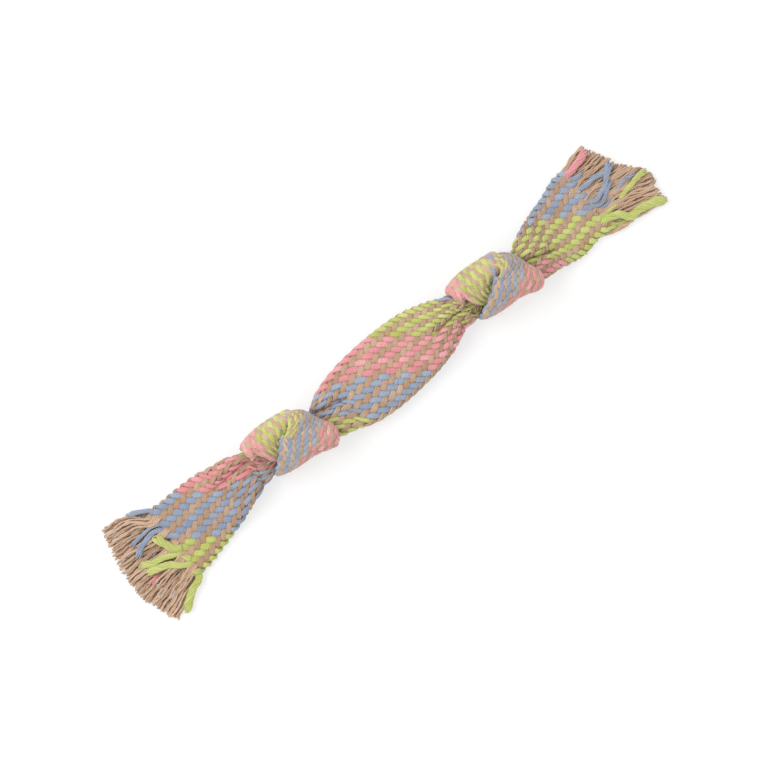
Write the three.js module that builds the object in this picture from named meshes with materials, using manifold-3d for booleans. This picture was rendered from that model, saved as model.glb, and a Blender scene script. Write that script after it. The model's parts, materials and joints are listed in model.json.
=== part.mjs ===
// A rope toy for a dog: one flat tube braided from hemp and coloured cotton yarn, tied in
// two overhand knots, with both ends cut and left to fray.
// Lengths are in millimetres. X runs along the toy, Y across it, and Z is up from the floor.

import * as THREE from 'three';
import { mergeVertices } from 'three/addons/utils/BufferGeometryUtils.js';
import Module from 'manifold-3d';

const wasm = await Module();
wasm.setup();

// Driving dimensions of the braid
const braidFlatWidth = 42;
const braidFlatThickness = 6;
const yarnDiameter = 1.7;
const sectionPower = 2.5;

// Driving dimensions of the knots, the stretches between them and the frayed ends
const knotRouteLength = 53;
const knotHeight = 34;
const knotDepth = 32;
const podLength = 83;
const leftTailLength = 51;
const rightTailLength = 41.5;
const fringeBackingLength = 3;
const leftFringeLength = 33;
const leftFringeTipWidth = 58;
const leftFringeTipShift = -3.5;
const rightFringeLength = 37;
const rightFringeTipWidth = 46;
const rightFringeTipShift = -2.5;
const leftKnotOffset = 1.3;
const rightKnotOffset = 0.3;

// Clearances and the small flat that the toy's own weight presses where it stands
const faceGap = 0.3;
const neckGap = 0.4;
const knotSlack = 0.18;
const standFlat = 0.35;
const cutOverrun = 20;

// Facets
const ringSpacing = 3.2;
const knotSides = 16;
const sleeveSides = 20;
const yarnSides = 6;
const yarnSteps = 6;
const endRings = 3;
const neckCutterSides = 48;

// Colours of the yarns
const hempColour = 0xb99a72;
const pinkColour = 0xe0808f;
const greenColour = 0xaecb4a;
const blueColour = 0x7f9dc4;
const blendColour = 0xb39a8c;

// One overhand knot as a route for the flat tube, from its left neck to its right neck.
// Each row: where the middle of the tube lies (shares of the neck length, the height and the
// depth), which way its width points, and its half width and half thickness as shares of those
// of the flat tube. The tube enters on the left, passes through the first turn, comes forward
// over the top, wraps down, round the back and over the top again, and leaves under that wrap.
const knotRouteShares = [
  [-0.49, 0.00, -0.09, 0.00, -1.00, 0.00, 0.56, 1.47],
  [-0.44, 0.00, -0.09, 0.00, -1.00, -0.06, 0.46, 1.43],
  [-0.38, -0.02, -0.08, 0.10, -0.98, -0.20, 0.41, 1.40],
  [-0.23, -0.02, -0.09, 0.20, -0.79, -0.58, 0.32, 1.30],
  [-0.08, 0.07, -0.12, 0.29, -0.68, -0.68, 0.27, 1.20],
  [0.10, 0.17, -0.03, 0.45, -0.54, -0.71, 0.27, 1.05],
  [0.27, 0.20, 0.18, 0.61, -0.44, -0.66, 0.30, 1.00],
  [0.30, 0.05, 0.38, 0.53, -0.62, -0.57, 0.44, 0.97],
  [0.18, -0.13, 0.43, 0.82, -0.56, -0.12, 0.66, 0.93],
  [0.04, -0.34, 0.12, 0.96, -0.21, -0.19, 0.82, 0.90],
  [-0.01, -0.29, -0.24, 0.98, 0.07, -0.21, 0.76, 0.93],
  [-0.06, 0.00, -0.41, 0.94, 0.33, 0.01, 0.70, 0.97],
  [-0.11, 0.29, -0.27, 0.98, 0.13, 0.12, 0.71, 0.97],
  [-0.12, 0.40, 0.06, 1.00, 0.03, 0.02, 0.76, 0.97],
  [-0.11, 0.26, 0.31, 0.96, 0.28, 0.02, 0.72, 0.97],
  [-0.09, 0.07, 0.25, 0.76, 0.65, 0.00, 0.32, 1.05],
  [0.09, -0.10, 0.03, 0.35, 0.93, 0.10, 0.23, 1.20],
  [0.33, -0.09, -0.08, 0.00, 1.00, -0.01, 0.34, 1.37],
  [0.38, -0.08, -0.10, 0.00, 1.00, 0.01, 0.45, 1.43],
  [0.44, -0.08, -0.09, 0.00, 1.00, 0.00, 0.57, 1.47],
];

// The flat tube between two places, from its first end to its last. Each row: the share of the
// stretch, the sideways place as a share of the flat width, how much of the way up to the neck
// it lies, and its half width and half thickness as shares of those of the flat tube.
const podRouteShares = [
  [0.00, -0.03, 1.00, 0.59, 1.32],
  [0.11, -0.02, 0.80, 0.73, 1.60],
  [0.21, -0.03, 0.50, 0.85, 1.90],
  [0.37, -0.03, 0.14, 0.93, 2.25],
  [0.50, -0.02, 0.02, 0.94, 2.35],
  [0.62, -0.01, 0.12, 0.92, 2.25],
  [0.79, 0.00, 0.48, 0.84, 1.90],
  [0.90, 0.00, 0.80, 0.72, 1.60],
  [1.00, 0.01, 1.00, 0.58, 1.32],
];
const leftTailRouteShares = [
  [0.00, 0.03, 1.00, 0.58, 1.30],
  [0.11, 0.03, 0.86, 0.66, 1.38],
  [0.28, 0.01, 0.46, 0.77, 1.30],
  [0.45, 0.00, 0.16, 0.87, 1.22],
  [0.74, -0.04, 0.00, 0.98, 1.16],
  [0.92, -0.07, 0.00, 1.03, 1.14],
  [1.00, -0.07, 0.00, 1.04, 1.13],
];
const rightTailRouteShares = [
  [0.00, -0.06, 1.00, 0.59, 1.30],
  [0.12, -0.04, 0.84, 0.66, 1.38],
  [0.28, -0.01, 0.46, 0.74, 1.30],
  [0.46, 0.00, 0.16, 0.85, 1.22],
  [0.67, 0.02, 0.00, 0.93, 1.18],
  [0.80, 0.06, 0.00, 0.96, 1.16],
  [0.92, 0.09, 0.00, 0.98, 1.14],
  [1.00, 0.09, 0.00, 0.99, 1.13],
];

// The frayed ends lie in four layers of twelve yarns, the two middle ones of hemp. Each fan
// opens from the width of the backing to the width at the tips, and each yarn has a share of
// the full length and a bow.
const fringeSlots = 12;
const fringeRootWidthShare = 0.84;
const fringeLengthShares = [
  [0.84, 0.93, 0.99, 0.88, 0.95, 1.00, 0.90, 0.97, 0.86, 0.94, 0.89, 0.80],
  [0.80, 0.97, 0.90, 1.00, 0.93, 0.87, 0.98, 0.91, 0.99, 0.88, 0.96, 0.83],
  [0.88, 0.90, 1.00, 0.94, 0.86, 0.97, 0.92, 1.00, 0.89, 0.98, 0.85, 0.86],
  [0.70, 0.82, 0.92, 0.74, 0.86, 0.95, 0.88, 0.97, 0.80, 0.91, 0.94, 0.84],
];
const fringeBowShares = [0.3, -0.5, 0.4, -0.2, 0.5, -0.4, 0.2, -0.5, 0.5, -0.3, 0.4, -0.4];
const leftFan = {
  length: leftFringeLength, tipWidth: leftFringeTipWidth, tipShift: leftFringeTipShift,
};
const rightFan = {
  length: rightFringeLength, tipWidth: rightFringeTipWidth, tipShift: rightFringeTipShift,
};

// Which colour each of the twelve coloured yarns of a wall has, from the far side (+Y) to the
// near side. Nine green, eight blue and seven pink yarns run round the tube one after another.
const leftTopColours = 'BBBBBGGGGGGG';
const leftBottomColours = 'BBBPPPPPPPGG';
const rightTopColours = 'PBBBBBBBBGGG';
const rightBottomColours = 'PPPPPPGGGGGG';
const yarnColours = { B: ['blue', blueColour], G: ['green', greenColour], P: ['pink', pinkColour] };

const halfFlatWidth = braidFlatWidth / 2;
const halfFlatThickness = braidFlatThickness / 2;
const yarnRadius = yarnDiameter / 2;
const yarnHeight = yarnDiameter * Math.cos(Math.PI / yarnSides);
const layerPitch = yarnHeight + faceGap;
const cutterWidth = braidFlatWidth + 2 * cutOverrun;
const toy = new THREE.Group();

function material(colour, roughness) {
  return new THREE.MeshStandardMaterial({ color: colour, roughness, metalness: 0 });
}

// Smooth rows between the given rows, spaced evenly along the route of their first three numbers
function smoothRows(rows, spacing) {
  const points = rows.map((row) => new THREE.Vector3(row[0], row[1], row[2]));
  const reach = [0];
  for (let i = 1; i < points.length; i += 1) {
    reach.push(reach[i - 1] + points[i].distanceTo(points[i - 1]));
  }
  const last = rows.length - 1;
  const slope = (from, to, k) => (rows[to][k] - rows[from][k]) / (reach[to] - reach[from]);
  const slopes = rows.map((row, i) => row.map((value, k) => {
    if (i === 0) return slope(0, 1, k);
    if (i === last) return slope(last - 1, last, k);
    const before = reach[i] - reach[i - 1];
    const after = reach[i + 1] - reach[i];
    return (slope(i - 1, i, k) * after + slope(i, i + 1, k) * before) / (before + after);
  }));
  const count = Math.max(2, Math.round(reach[last] / spacing));
  const result = [];
  let i = 0;
  for (let n = 0; n <= count; n += 1) {
    const place = reach[last] * n / count;
    while (i < last - 1 && place > reach[i + 1]) i += 1;
    const step = reach[i + 1] - reach[i];
    const u = (place - reach[i]) / step;
    const near = (1 + 2 * u) * (1 - u) * (1 - u);
    const far = u * u * (3 - 2 * u);
    const leave = u * (1 - u) * (1 - u) * step;
    const arrive = u * u * (u - 1) * step;
    result.push(rows[i].map((value, k) => value * near + rows[i + 1][k] * far
      + slopes[i][k] * leave + slopes[i + 1][k] * arrive));
  }
  return result;
}

// Rings of points round the flat tube, one for each row of place, width direction, half width
// and half thickness. Each ring also keeps its frame, for the rounded ends.
function ringsAlong(rows, sides, shrink) {
  const centres = rows.map((row) => new THREE.Vector3(row[0], row[1], row[2]));
  return rows.map((row, i) => {
    const ahead = centres[Math.min(i + 1, rows.length - 1)];
    const behind = centres[Math.max(i - 1, 0)];
    const along = ahead.clone().sub(behind).normalize();
    const across = new THREE.Vector3(row[3], row[4], row[5]);
    across.addScaledVector(along, -across.dot(along)).normalize();
    const up = along.clone().cross(across);
    return section({ centre: centres[i], along, across, up }, row[6] - shrink, row[7] - shrink, sides);
  });
}

function section(frame, halfWidth, halfThickness, sides) {
  const points = [];
  for (let k = 0; k < sides; k += 1) {
    const angle = 2 * Math.PI * k / sides;
    const wide = Math.sign(Math.cos(angle)) * Math.abs(Math.cos(angle)) ** (2 / sectionPower);
    const tall = Math.sign(Math.sin(angle)) * Math.abs(Math.sin(angle)) ** (2 / sectionPower);
    points.push(frame.centre.clone()
      .addScaledVector(frame.across, halfWidth * wide)
      .addScaledVector(frame.up, halfThickness * tall));
  }
  return { frame, halfWidth, halfThickness, points };
}

// Extra rings that round an end off like a knuckle, about an axis along the tube's width
function roundedEnd(ring, direction, sides) {
  const rings = [];
  for (let k = 1; k <= endRings; k += 1) {
    const turn = (Math.PI / 2) * k / (endRings + 0.5);
    const centre = ring.frame.centre.clone()
      .addScaledVector(ring.frame.along, direction * ring.halfThickness * Math.sin(turn));
    const halfThickness = ring.halfThickness * Math.cos(turn);
    const halfWidth = ring.halfWidth - (ring.halfThickness - halfThickness);
    rings.push(section({ ...ring.frame, centre }, halfWidth, halfThickness, sides));
  }
  return rings;
}

function skin(rings) {
  const sides = rings[0].points.length;
  const positions = [];
  const indices = [];
  for (const ring of rings) {
    for (const point of ring.points) positions.push(point.x, point.y, point.z);
  }
  for (let i = 0; i < rings.length - 1; i += 1) {
    for (let k = 0; k < sides; k += 1) {
      const a = i * sides + k;
      const b = i * sides + (k + 1) % sides;
      indices.push(a, b, a + sides, b, b + sides, a + sides);
    }
  }
  const first = rings[0].frame.centre;
  const last = rings[rings.length - 1].frame.centre;
  const start = positions.length / 3;
  positions.push(first.x, first.y, first.z, last.x, last.y, last.z);
  const lastRing = (rings.length - 1) * sides;
  for (let k = 0; k < sides; k += 1) {
    const next = (k + 1) % sides;
    indices.push(start, next, k, start + 1, lastRing + k, lastRing + next);
  }
  const geometry = new THREE.BufferGeometry();
  geometry.setAttribute('position', new THREE.Float32BufferAttribute(positions, 3));
  geometry.setIndex(indices);
  return geometry;
}

function solidOf(geometry) {
  const bare = geometry.clone();
  bare.deleteAttribute('normal');
  bare.deleteAttribute('uv');
  const merged = mergeVertices(bare);
  return new wasm.Manifold(new wasm.Mesh({
    numProp: 3,
    vertProperties: new Float32Array(merged.getAttribute('position').array),
    triVerts: new Uint32Array(merged.getIndex().array),
  }));
}

function geometryOf(solid) {
  const mesh = solid.getMesh();
  const geometry = new THREE.BufferGeometry();
  geometry.setAttribute('position', new THREE.Float32BufferAttribute(mesh.vertProperties, 3));
  geometry.setIndex(Array.from(mesh.triVerts));
  geometry.computeVertexNormals();
  return geometry;
}

// The space under the floor, which presses a small flat into whatever rests there
function underFloor(centreX, pieceLength) {
  const box = new THREE.BoxGeometry(pieceLength + 2 * cutOverrun, cutterWidth, cutOverrun);
  box.translate(centreX, 0, -cutOverrun / 2);
  return solidOf(box);
}

// The space that a neck's rounded end sweeps, cut from the stretch that bends about it
function neckClearance(neck) {
  const reach = halfFlatThickness * neck.thicknessShare + neckGap;
  const cylinder = new THREE.CylinderGeometry(reach, reach, cutterWidth, neckCutterSides);
  cylinder.translate(neck.x, neck.y, neck.z);
  return solidOf(cylinder);
}

function addMesh(name, geometry, look) {
  const mesh = new THREE.Mesh(geometry, look);
  mesh.name = name;
  toy.add(mesh);
  return mesh;
}

// Knots

const knotRows = knotRouteShares.map((row) => [
  row[0] * knotRouteLength, row[1] * knotHeight, row[2] * knotDepth,
  row[3], row[4], row[5],
  row[6] * halfFlatWidth, row[7] * halfFlatThickness,
]);

// The least gap between stretches of the knot that lie apart along the rope
function leastGap(rings) {
  let travelled = 0;
  const reach = rings.map((ring, i) => {
    if (i > 0) travelled += ring.frame.centre.distanceTo(rings[i - 1].frame.centre);
    return travelled;
  });
  let least = Infinity;
  for (let i = 0; i < rings.length; i += 1) {
    for (let j = i + 1; j < rings.length; j += 1) {
      if (reach[j] - reach[i] < braidFlatWidth / 2) continue;
      for (const a of rings[i].points) {
        for (const b of rings[j].points) least = Math.min(least, a.distanceTo(b));
      }
    }
  }
  return least;
}

const fineRings = ringsAlong(smoothRows(knotRows, ringSpacing / 4), 3 * knotSides, knotSlack);
console.log(`least gap of a knot to itself: ${leastGap(fineRings).toFixed(2)} mm`);

const knotRings = ringsAlong(smoothRows(knotRows, ringSpacing), knotSides, knotSlack);
const knotSkin = skin([
  ...roundedEnd(knotRings[0], -1, knotSides).reverse(),
  ...knotRings,
  ...roundedEnd(knotRings[knotRings.length - 1], 1, knotSides),
]);
knotSkin.computeBoundingBox();
const knotCentreHeight = -knotSkin.boundingBox.min.z - standFlat;

const firstShares = knotRouteShares[0];
const lastShares = knotRouteShares[knotRouteShares.length - 1];

// Where a knot's middle lies, and the two necks about which its neighbours bend
function knotPlace(x, y) {
  const neck = (shares) => ({
    x: x + shares[0] * knotRouteLength,
    y: y + shares[1] * knotHeight,
    z: knotCentreHeight + shares[2] * knotDepth,
    thicknessShare: shares[7],
  });
  return { x, y, left: neck(firstShares), right: neck(lastShares) };
}

const podStart = -podLength / 2 + (firstShares[0] + lastShares[0]) * knotRouteLength / 2;
const leftKnot = knotPlace(podStart - lastShares[0] * knotRouteLength, leftKnotOffset);
const rightKnot = knotPlace(podStart + podLength - firstShares[0] * knotRouteLength, rightKnotOffset);

function makeKnot(name, place) {
  const geometry = knotSkin.clone();
  geometry.translate(place.x, place.y, knotCentreHeight);
  const rested = solidOf(geometry).subtract(underFloor(place.x, knotRouteLength));
  addMesh(name, geometryOf(rested), material(blendColour, 0.9));
}

// Straight stretches of the flat tube

function stretchRows(routeShares, from, length, direction, neckHeight) {
  return routeShares.map((row) => {
    const halfThickness = row[4] * halfFlatThickness;
    const resting = halfThickness - standFlat;
    const height = resting + (neckHeight - resting) * row[2];
    return [
      from + direction * row[0] * length, row[1] * braidFlatWidth, height,
      0, 1, 0,
      row[3] * halfFlatWidth, halfThickness,
    ];
  });
}

function matchNeck(rows, index, neck) {
  rows[index][1] = neck.y;
  rows[index][2] = neck.z;
}

function makeStretch(name, rows, cutters) {
  const rings = ringsAlong(smoothRows(rows, ringSpacing), sleeveSides, 0);
  let solid = solidOf(skin(rings));
  const start = rows[0][0];
  const length = rows[rows.length - 1][0] - start;
  for (const cutter of [...cutters, underFloor(start + length / 2, length)]) {
    solid = solid.subtract(cutter);
  }
  addMesh(name, geometryOf(solid), material(blendColour, 0.9));
}

function makePod() {
  const rows = stretchRows(podRouteShares, leftKnot.right.x, podLength, 1, leftKnot.right.z);
  matchNeck(rows, 0, leftKnot.right);
  matchNeck(rows, rows.length - 1, rightKnot.left);
  makeStretch('pod_braid', rows, [neckClearance(leftKnot.right), neckClearance(rightKnot.left)]);
}

// A tail, and its frayed end beyond the last row

function tailRows(routeShares, neck, length, direction) {
  const rows = stretchRows(routeShares, neck.x, length, direction, neck.z);
  matchNeck(rows, 0, neck);
  if (direction < 0) rows.reverse();
  return rows;
}

function yarnRings(root, tip, bow) {
  const middle = root.clone().lerp(tip, 0.5);
  middle.y += bow;
  const curve = new THREE.QuadraticBezierCurve3(root, middle, tip);
  const rings = [];
  for (let k = 0; k <= yarnSteps; k += 1) {
    const along = curve.getTangent(k / yarnSteps);
    const across = new THREE.Vector3(0, 1, 0).addScaledVector(along, -along.y).normalize();
    const up = along.clone().cross(across);
    const centre = curve.getPoint(k / yarnSteps);
    const points = [];
    for (let side = 0; side < yarnSides; side += 1) {
      const angle = 2 * Math.PI * side / yarnSides;
      points.push(centre.clone()
        .addScaledVector(across, yarnRadius * Math.cos(angle))
        .addScaledVector(up, yarnRadius * Math.sin(angle)));
    }
    rings.push({ frame: { centre, along, across, up }, points });
  }
  return rings;
}

function fringeYarn(end, fan, direction, layer, slot, rootX) {
  const side = 1 - 2 * (slot + 0.5) / fringeSlots;
  const rootY = end.y + side * end.halfWidth * fringeRootWidthShare;
  const rise = yarnHeight / 2 + layer * layerPitch;
  const length = fan.length * fringeLengthShares[layer][slot];
  const root = new THREE.Vector3(rootX, rootY, rise);
  const spread = fan.tipWidth / 2 * side + fan.tipShift;
  const tip = new THREE.Vector3(
    rootX + direction * length,
    rootY + (end.y + spread - rootY) * length / fan.length,
    rise,
  );
  return yarnRings(root, tip, fringeBowShares[slot] * yarnDiameter);
}

function makeFringe(sideName, rows, fan, direction, topColours, bottomColours) {
  const endRow = direction < 0 ? rows[0] : rows[rows.length - 1];
  const end = { x: endRow[0], y: endRow[1], halfWidth: endRow[6], halfThickness: endRow[7] };
  const backingStart = end.x + direction * faceGap;
  const backingEnd = backingStart + direction * fringeBackingLength;
  const backingRows = [backingStart, backingEnd].map((x) => [
    x, end.y, end.halfThickness - standFlat, 0, 1, 0, end.halfWidth, end.halfThickness,
  ]);
  if (direction < 0) backingRows.reverse();
  let backing = solidOf(skin(ringsAlong(backingRows, sleeveSides, 0)));
  backing = backing.subtract(underFloor(end.x, fringeBackingLength));
  for (const layer of [1, 2]) {
    for (let slot = 0; slot < fringeSlots; slot += 1) {
      const rings = fringeYarn(end, fan, direction, layer, slot, backingEnd - direction * yarnRadius);
      backing = backing.add(solidOf(skin(rings)));
    }
  }
  addMesh(`hemp_fringe_${sideName}`, geometryOf(backing), material(hempColour, 0.95));
  const counts = {};
  for (const [layer, colours] of [[0, bottomColours], [3, topColours]]) {
    for (let slot = 0; slot < fringeSlots; slot += 1) {
      const [colourName, colour] = yarnColours[colours[slot]];
      counts[colourName] = (counts[colourName] ?? 0) + 1;
      const rings = fringeYarn(end, fan, direction, layer, slot, backingEnd + direction * faceGap);
      const name = `${colourName}_end_${sideName}_${counts[colourName]}`;
      addMesh(name, skin(rings), material(colour, 0.9));
    }
  }
}

makePod();
makeKnot('knot_left', leftKnot);
makeKnot('knot_right', rightKnot);

const leftRows = tailRows(leftTailRouteShares, leftKnot.left, leftTailLength, -1);
makeStretch('tail_braid_left', leftRows, [neckClearance(leftKnot.left)]);
makeFringe('left', leftRows, leftFan, -1, leftTopColours, leftBottomColours);

const rightRows = tailRows(rightTailRouteShares, rightKnot.right, rightTailLength, 1);
makeStretch('tail_braid_right', rightRows, [neckClearance(rightKnot.right)]);
makeFringe('right', rightRows, rightFan, 1, rightTopColours, rightBottomColours);

// The origin is the middle of the toy's outline, on the floor
const outline = new THREE.Box3().setFromObject(toy);
const outlineCentre = outline.getCenter(new THREE.Vector3());
toy.position.set(-outlineCentre.x, -outlineCentre.y, -outline.min.z);

const necks = [leftKnot.left, leftKnot.right, rightKnot.left, rightKnot.right];
for (const neck of necks) {
  const place = new THREE.Vector3(neck.x, neck.y, neck.z).add(toy.position);
  console.log(`neck at ${place.toArray().map((value) => value.toFixed(2)).join(', ')} mm`);
}
const outlineSize = outline.getSize(new THREE.Vector3());
console.log(`outline ${outlineSize.toArray().map((value) => value.toFixed(1)).join(' x ')} mm`);

export default toy;
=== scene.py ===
"""A rope toy for a dog: a flat tube of hemp and cotton yarns, with two knots and frayed ends.

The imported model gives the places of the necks, and every yarn of the braid is laid along nearly
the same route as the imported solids, drawn in by up to a few millimetres where the picture shows it.
Tables and sizes are in millimetres, and meshes are written in metres.
"""

import json
import logging
import math
from collections.abc import Sequence
from dataclasses import dataclass, field
from enum import Enum

import bpy
import numpy as np
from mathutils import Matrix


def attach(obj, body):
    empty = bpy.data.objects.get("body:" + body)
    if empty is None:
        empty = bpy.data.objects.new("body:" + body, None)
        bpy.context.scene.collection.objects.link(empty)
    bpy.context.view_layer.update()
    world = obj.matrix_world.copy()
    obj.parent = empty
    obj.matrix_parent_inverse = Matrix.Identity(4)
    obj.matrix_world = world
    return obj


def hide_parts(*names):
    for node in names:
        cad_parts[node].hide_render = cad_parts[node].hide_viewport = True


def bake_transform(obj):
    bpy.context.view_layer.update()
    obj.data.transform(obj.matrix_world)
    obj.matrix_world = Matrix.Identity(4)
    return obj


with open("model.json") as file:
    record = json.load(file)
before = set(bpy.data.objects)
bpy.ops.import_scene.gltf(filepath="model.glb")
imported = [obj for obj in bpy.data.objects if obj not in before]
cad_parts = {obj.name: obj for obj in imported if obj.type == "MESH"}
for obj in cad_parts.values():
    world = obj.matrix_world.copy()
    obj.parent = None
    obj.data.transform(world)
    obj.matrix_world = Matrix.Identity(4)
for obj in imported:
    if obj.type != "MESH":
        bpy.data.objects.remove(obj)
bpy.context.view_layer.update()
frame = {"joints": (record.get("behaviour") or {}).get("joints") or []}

MM = 0.001
TAU = 2 * math.pi
SEED = 11
Array = np.ndarray
Piece = bpy.types.Object

log = logging.getLogger("rope_toy")


class Yarn(Enum):
    """The four kinds of yarn; each value is the record's material slot."""

    HEMP = "hemp_yarn"
    PINK = "pink_yarn"
    GREEN = "green_yarn"
    BLUE = "blue_yarn"

    @property
    def word(self) -> str:
        """The yarn's name as the nodes have it."""
        return self.value.split("_")[0]


class Side(Enum):
    """The two ends of the toy; each value is the direction in X that the end points."""

    LEFT = -1
    RIGHT = 1

    @property
    def word(self) -> str:
        """The side's name as the nodes have it."""
        return self.name.lower()


# Small helpers


def hex_to_linear(value: int) -> tuple[float, float, float, float]:
    """Turns an sRGB colour into Blender's linear one.

    Args:
        value: The colour, such as 0xC0FFEE.

    Returns:
        Red, green, blue and an alpha of 1.
    """
    channels = [((value >> shift) & 255) / 255 for shift in (16, 8, 0)]
    linear = [c / 12.92 if c <= 0.04045 else ((c + 0.055) / 1.055) ** 2.4 for c in channels]
    return linear[0], linear[1], linear[2], 1.0


def add_node(tree: bpy.types.NodeTree, kind: str, sockets: dict | None = None,
             **settings: object) -> bpy.types.Node:
    """Adds a node with its settings, values and links.

    Args:
        tree: The node tree that gets the node.
        kind: The node's type, without the word ShaderNode before it.
        sockets: What each input gets, by name or number: a value, an output socket, or a node
            for that node's first output.
        settings: The node's own properties.

    Returns:
        The new node.
    """
    node = tree.nodes.new("ShaderNode" + kind)
    for name, value in settings.items():
        setattr(node, name, value)
    for key, value in (sockets or {}).items():
        if isinstance(value, bpy.types.Node):
            value = value.outputs[0]
        if isinstance(value, bpy.types.NodeSocket):
            tree.links.new(value, node.inputs[key])
        else:
            node.inputs[key].default_value = value
    return node


def calculate(tree: bpy.types.NodeTree, operation: str, *values: object) -> bpy.types.Node:
    """Adds a node that works out one number from others."""
    return add_node(tree, "Math", dict(enumerate(values)), operation=operation)


def map_range(tree: bpy.types.NodeTree, value: object, span: tuple[float, float],
              ends: tuple[float, float] = (0.0, 1.0)) -> bpy.types.Node:
    """Adds a node that runs from the first of two ends to the second over a span of its value."""
    return add_node(tree, "MapRange", {
        "Value": value, "From Min": span[0], "From Max": span[1],
        "To Min": ends[0], "To Max": ends[1]})


def mix_colours(tree: bpy.types.NodeTree, share: bpy.types.Node, first: object,
                second: object) -> bpy.types.NodeSocket:
    """Adds a node that goes from one colour to another by a share, and gives its colour."""
    return add_node(tree, "Mix", {0: share, 6: first, 7: second}, data_type="RGBA").outputs[2]


def smooth_step(value: Array, start: float, end: float) -> Array:
    """Rises smoothly from 0 at start to 1 at end."""
    share = np.clip((value - start) / (end - start), 0.0, 1.0)
    return share * share * (3 - 2 * share)


def rise_and_fall(value: Array, places: Sequence[float]) -> Array:
    """Rises from 0 to 1 between the first two of four places, and falls between the last two."""
    return smooth_step(value, *places[:2]) * (1 - smooth_step(value, *places[2:]))


def smooth_rows(rows: Array, places: Array, wanted: Array) -> Array:
    """Runs smooth curves through rows of numbers.

    Args:
        rows: One row of numbers for each place.
        places: Rising places of the rows.
        wanted: Rising places to find rows for.

    Returns:
        One row for each wanted place.
    """
    steps = np.diff(places)[:, None]
    chords = np.diff(rows, axis=0) / steps
    inner = (chords[:-1] * steps[1:] + chords[1:] * steps[:-1]) / (steps[1:] + steps[:-1])
    slopes = np.vstack([chords[:1], inner, chords[-1:]])
    index = np.clip(np.searchsorted(places, wanted, side="right") - 1, 0, len(places) - 2)
    step = steps[index]
    u = ((wanted - places[index]) / step[:, 0])[:, None]
    near = (1 + 2 * u) * (1 - u) ** 2
    far = u * u * (3 - 2 * u)
    return (rows[index] * near + rows[index + 1] * far
            + slopes[index] * u * (1 - u) ** 2 * step + slopes[index + 1] * u * u * (u - 1) * step)


def lengths_along(points: Array) -> Array:
    """The distance travelled at each point of a path."""
    return np.concatenate([[0.0], np.cumsum(np.linalg.norm(np.diff(points, axis=0), axis=1))])


def unit(vectors: Array) -> Array:
    """Vectors brought to length 1."""
    return vectors / np.maximum(np.linalg.norm(vectors, axis=-1, keepdims=True), 1e-9)


def square_to(run: Array, vectors: Array) -> Array:
    """Unit vectors turned square to the unit vectors of a run."""
    return unit(vectors - run * np.sum(vectors * run, axis=1, keepdims=True))


def upright(line: Array) -> tuple[Array, Array]:
    """The unit ways up and sideways at each point of a line, both square to it."""
    run = unit(np.gradient(line, axis=0))
    up = square_to(run, np.tile([0.0, 0.0, 1.0], (len(line), 1)))
    return up, np.cross(up, run)


# Finishes


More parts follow.
